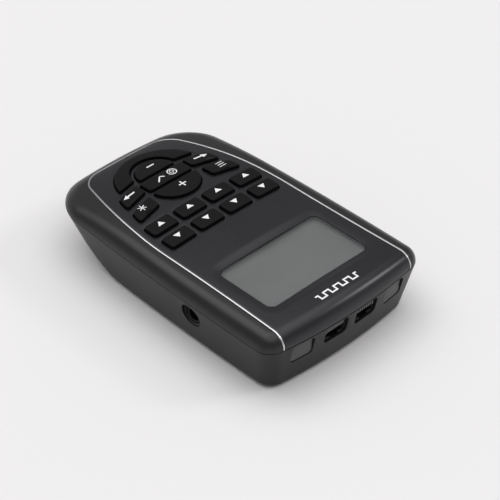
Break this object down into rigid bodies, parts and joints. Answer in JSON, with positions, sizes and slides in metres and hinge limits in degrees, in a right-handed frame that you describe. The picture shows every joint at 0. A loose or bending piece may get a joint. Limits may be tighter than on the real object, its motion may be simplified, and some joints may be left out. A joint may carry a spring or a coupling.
{
  "type": "handheld electrotherapy controller",
  "caption": "Palm-sized controller with a two-part case, a grey display, sprung rubber keys around a round cluster, lead sockets at the display end and a power inlet on the side.",
  "frame": {"origin": "middle of the case's box, on the plane that its flat back rests on", "axes": "+X to the user's right, +Y towards the display and connector end, +Z out of the face"},
  "size_m": [0.099, 0.16, 0.0364],
  "materials": {
    "case": "fine-textured black moulded plastic",
    "panel": "satin near-black face panel",
    "bright": "satin silver outline strip",
    "lens": "clear acrylic window",
    "lcd": "blank grey liquid crystal display",
    "white_plastic": "white moulded plastic",
    "key": "black coated silicone rubber",
    "marking": "white printed key marks",
    "socket": "black moulded plastic",
    "contact": "gold-plated sprung contacts",
    "blank": "dark grey moulded plastic",
    "steel": "zinc-plated screw steel",
    "board": "green solder mask",
    "mat": "grey silicone keypad mat",
    "wrap": "blue shrink wrap",
    "red_wire": "red wire insulation",
    "ferrite": "dark ferrite",
    "sleeve": "printed plastic sleeve",
    "chip": "black moulded component body"
  },
  "bodies": {
    "case": {"rear_shell": "case", "battery_door": "case", "front_shell": "case", "face_panel": "panel", "bright_trim": "bright", "display_lens": "lens", "lcd_glass": "lcd", "lcd_backlight": "white_plastic", "output_socket_left": "socket", "output_socket_right": "socket", "socket_contacts_left": "contact", "socket_contacts_right": "contact", "port_blank_left": "blank", "port_blank_right": "blank", "power_inlet": "socket", "case_screw_1": "steel", "case_screw_2": "steel", "case_screw_3": "steel", "case_screw_4": "steel", "door_screw": "steel", "control_board": "board", "keypad_mat": "mat", "power_board": "board", "battery_pack": "wrap", "battery_plug": "white_plastic", "battery_lead": "red_wire", "pulse_transformer": "ferrite", "storage_capacitor": "sleeve", "processor_chip": "chip", "board_link": "chip", "buzzer": "chip"},
    "key_up_1": {"key_up_1": "key"},
    "key_up_2": {"key_up_2": "key"},
    "key_up_3": {"key_up_3": "key"},
    "key_up_4": {"key_up_4": "key"},
    "key_down_1": {"key_down_1": "key"},
    "key_down_2": {"key_down_2": "key"},
    "key_down_3": {"key_down_3": "key"},
    "key_down_4": {"key_down_4": "key"},
    "key_back": {"key_back": "key"},
    "key_forward": {"key_forward": "key"},
    "key_star": {"key_star": "key"},
    "key_info": {"key_info": "key"},
    "key_confirm": {"key_confirm": "key"},
    "key_plus": {"key_plus": "key"},
    "key_minus": {"key_minus": "key"},
    "key_menu": {"key_menu": "key"}
  },
  "joints": [
    {"name": "press_up_1", "type": "slide", "parent": "case", "child": "key_up_1", "axis": [0, 0, -1], "range_m": [0, 0.0012], "stiffness_N_per_m": 400, "springref_m": -0.0005},
    {"name": "press_up_2", "type": "slide", "parent": "case", "child": "key_up_2", "axis": [0, 0, -1], "range_m": [0, 0.0012], "stiffness_N_per_m": 400, "springref_m": -0.0005},
    {"name": "press_up_3", "type": "slide", "parent": "case", "child": "key_up_3", "axis": [0, 0, -1], "range_m": [0, 0.0012], "stiffness_N_per_m": 400, "springref_m": -0.0005},
    {"name": "press_up_4", "type": "slide", "parent": "case", "child": "key_up_4", "axis": [0, 0, -1], "range_m": [0, 0.0012], "stiffness_N_per_m": 400, "springref_m": -0.0005},
    {"name": "press_down_1", "type": "slide", "parent": "case", "child": "key_down_1", "axis": [0, 0, -1], "range_m": [0, 0.0012], "stiffness_N_per_m": 400, "springref_m": -0.0005},
    {"name": "press_down_2", "type": "slide", "parent": "case", "child": "key_down_2", "axis": [0, 0, -1], "range_m": [0, 0.0012], "stiffness_N_per_m": 400, "springref_m": -0.0005},
    {"name": "press_down_3", "type": "slide", "parent": "case", "child": "key_down_3", "axis": [0, 0, -1], "range_m": [0, 0.0012], "stiffness_N_per_m": 400, "springref_m": -0.0005},
    {"name": "press_down_4", "type": "slide", "parent": "case", "child": "key_down_4", "axis": [0, 0, -1], "range_m": [0, 0.0012], "stiffness_N_per_m": 400, "springref_m": -0.0005},
    {"name": "press_back", "type": "slide", "parent": "case", "child": "key_back", "axis": [0, 0, -1], "range_m": [0, 0.0012], "stiffness_N_per_m": 400, "springref_m": -0.0005},
    {"name": "press_forward", "type": "slide", "parent": "case", "child": "key_forward", "axis": [0, 0, -1], "range_m": [0, 0.0012], "stiffness_N_per_m": 400, "springref_m": -0.0005},
    {"name": "press_star", "type": "slide", "parent": "case", "child": "key_star", "axis": [0, 0, -1], "range_m": [0, 0.0012], "stiffness_N_per_m": 400, "springref_m": -0.0005},
    {"name": "press_info", "type": "slide", "parent": "case", "child": "key_info", "axis": [0, 0, -1], "range_m": [0, 0.0012], "stiffness_N_per_m": 400, "springref_m": -0.0005},
    {"name": "press_confirm", "type": "slide", "parent": "case", "child": "key_confirm", "axis": [0, 0, -1], "range_m": [0, 0.0012], "stiffness_N_per_m": 400, "springref_m": -0.0005},
    {"name": "press_plus", "type": "slide", "parent": "case", "child": "key_plus", "axis": [0, 0, -1], "range_m": [0, 0.0012], "stiffness_N_per_m": 400, "springref_m": -0.0005},
    {"name": "press_minus", "type": "slide", "parent": "case", "child": "key_minus", "axis": [0, 0, -1], "range_m": [0, 0.0012], "stiffness_N_per_m": 400, "springref_m": -0.0005},
    {"name": "press_menu", "type": "slide", "parent": "case", "child": "key_menu", "axis": [0, 0, -1], "range_m": [0, 0.0012], "stiffness_N_per_m": 400, "springref_m": -0.0005}
  ]
}
